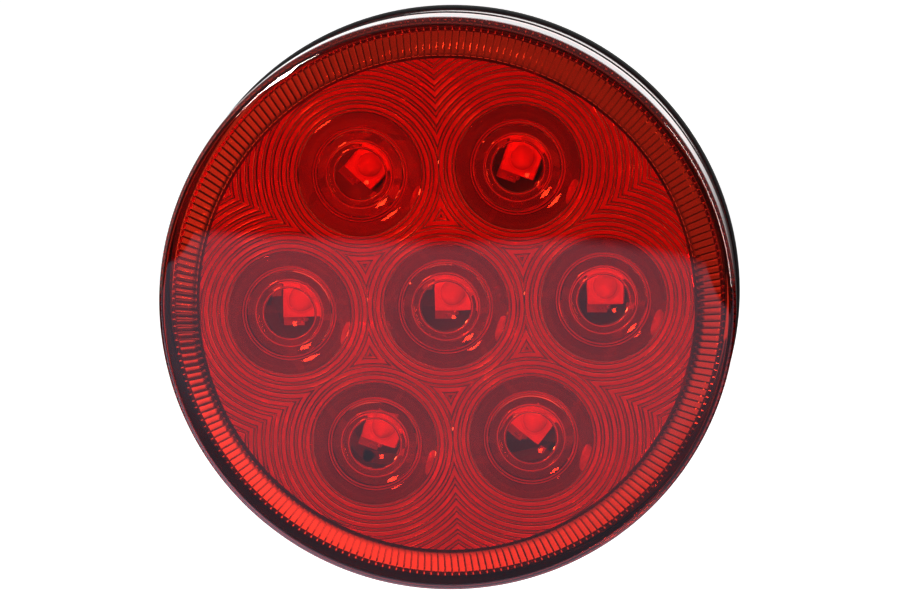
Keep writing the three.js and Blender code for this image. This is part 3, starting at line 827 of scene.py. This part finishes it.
# pale floor, seen by the camera only; the lamp mirrors a table of its own, whose far edge shows across the crown
FLOOR_Z = -250.0
fs = Shell()
grid = [[fs.vert(x, y, FLOOR_Z - 1.0) for y in (-40000, -8000, 0, 8000, 40000)] for x in (-40000, -8000, 0, 8000, 40000)]
for a_, b_ in zip(grid, grid[1:]):
    for k in range(4):
        fs.face((a_[k], b_[k], b_[k + 1], a_[k + 1]))
floor = fs.build("floor")
m, nt, out = material("pale_floor")
d = principled(nt, **{"Base Color": (0.8, 0.8, 0.8, 1), "Roughness": 0.9, "Emission Color": (1, 1, 1, 1), "Emission Strength": 0.75})
nt.links.new(d.outputs["BSDF"], out.inputs["Surface"])
floor.data.materials.append(m)
floor.visible_glossy = floor.visible_transmission = floor.visible_diffuse = floor.visible_shadow = False

ts = Shell()
edge = [(-6000, -7300), (-565, -2729), (-458, -2640), (-336, -2547), (-182, -2432), (-106, -2426), (-30, -2430), (45, -2343), (90, -2239), (133, -2133), (155, -2095),
        (400, -1700), (1000, -900), (2500, 400)]
rows_ = []
for x, y in edge:
    rows_.append([ts.vert(x, y - 70, FLOOR_Z), ts.vert(x, y + 70, FLOOR_Z)] + [ts.vert(x, y + (1500 - y) * q, FLOOR_Z) for q in (0.2, 0.4, 0.6, 0.8, 1.0)])
for a_, b_ in zip(rows_, rows_[1:]):
    for k in range(6):
        ts.face((a_[k], b_[k], b_[k + 1], a_[k + 1]))
table = ts.build("table")
fade_of = table.data.attributes.new("fade", "FLOAT", "POINT")
for v in table.data.vertices:
    near_edge = min(range(len(edge) - 1), key=lambda k: 0 if edge[k][0] <= v.co.x * 1000 <= edge[k + 1][0] else 1)
    (x0, y0), (x1, y1) = edge[near_edge], edge[near_edge + 1]
    limit = y0 + (y1 - y0) * (v.co.x * 1000 - x0) / (x1 - x0)
    fade_of.data[v.index].value = 0.0 if v.co.y * 1000 < limit else 1.0
m, nt, out = material("table_light")
tc = node(nt, "ShaderNodeTexCoord")
sp = node(nt, "ShaderNodeSeparateXYZ")
nt.links.new(tc.outputs["Object"], sp.inputs["Vector"])
mr = node(nt, "ShaderNodeMapRange")
mr.inputs["From Min"].default_value, mr.inputs["From Max"].default_value = -1.6, 0.4
nt.links.new(sp.outputs["Y"], mr.inputs["Value"])
tone = node(nt, "ShaderNodeValToRGB")
stops = [(-1.15, FRONT_FLOOR), (-0.80, 0.34), (-0.30, 0.30), (-0.14, 0.0), (0.05, 0.0), (0.20, 0.0)]


def tones(nt, source, stops):
    """A run of brightnesses along a coordinate that has been mapped from -1.6..0.4 m."""
    tone = node(nt, "ShaderNodeValToRGB")
    for k in range(2, len(stops)):
        tone.color_ramp.elements.new(0.9 + 0.01 * k)
    for k, (y, value) in reversed(list(enumerate(stops))):
        tone.color_ramp.elements[k].position = (y + 1.6) / 2.0
        tone.color_ramp.elements[k].color = (value / 1.5, value / 1.5, value / 1.5, 1)
    nt.links.new(source, tone.inputs["Fac"])
    return tone.outputs["Color"]


def product(nt, kind, first, second):
    n_ = node(nt, "ShaderNodeMath", operation=kind)
    nt.links.new(first, n_.inputs[0])
    if isinstance(second, float):
        n_.inputs[1].default_value = second
    else:
        nt.links.new(second, n_.inputs[1])
    return n_.outputs["Value"]


fade = node(nt, "ShaderNodeAttribute", attribute_name="fade")
far_part = product(nt, "MULTIPLY", tones(nt, mr.outputs["Result"], stops), fade.outputs["Fac"])
near_part = tones(nt, mr.outputs["Result"], [(-1.5, 0.0), (-0.30, 0.0), (-0.14, 1.0), (0.05, 1.0), (0.20, 0.04), (0.38, 0.0)])
across = node(nt, "ShaderNodeMapRange")
across.inputs["From Min"].default_value, across.inputs["From Max"].default_value = -0.25, 0.25
across.inputs["To Min"].default_value, across.inputs["To Max"].default_value = NEAR_LEFT, NEAR_RIGHT
nt.links.new(sp.outputs["X"], across.inputs["Value"])
more = product(nt, "MULTIPLY", product(nt, "ADD", far_part, product(nt, "MULTIPLY", near_part, across.outputs["Result"])), 1.5)
em = node(nt, "ShaderNodeEmission")
em.inputs["Color"].default_value = (1.0, 0.89, 1.18, 1)
nt.links.new(more, em.inputs["Strength"])
nt.links.new(em.outputs["Emission"], out.inputs["Surface"])
table.data.materials.append(m)
table.visible_camera = table.visible_shadow = False


def softbox(name, angle, tilt, dist, w, h, power):
    """A soft light aimed at the lens; angle is its side as seen from the front, tilt its angle off the lamp's axis."""
    a, b = math.radians(angle), math.radians(tilt)
    pos = Vector((math.sin(b) * math.cos(a), -math.cos(b), math.sin(b) * math.sin(a))) * dist
    data = bpy.data.lights.new(name, "AREA")
    data.shape = "RECTANGLE"
    data.size, data.size_y = w, h
    data.energy = power
    ob = bpy.data.objects.new(name, data)
    scene.collection.objects.link(ob)
    ob.location = pos
    ob.rotation_euler = (-pos).to_track_quat("-Z", "Y").to_euler()
    ob.visible_camera = False
    return ob


softbox("key_left", 143, 23, 1.2, 0.15, 0.15, 8.5)
softbox("strip_right", 14, 66, 1.2, 0.12, 0.8, 5)
back = softbox("fill_back", 100, 138, 1.4, 0.9, 0.9, 14)
back.visible_glossy = back.visible_transmission = False
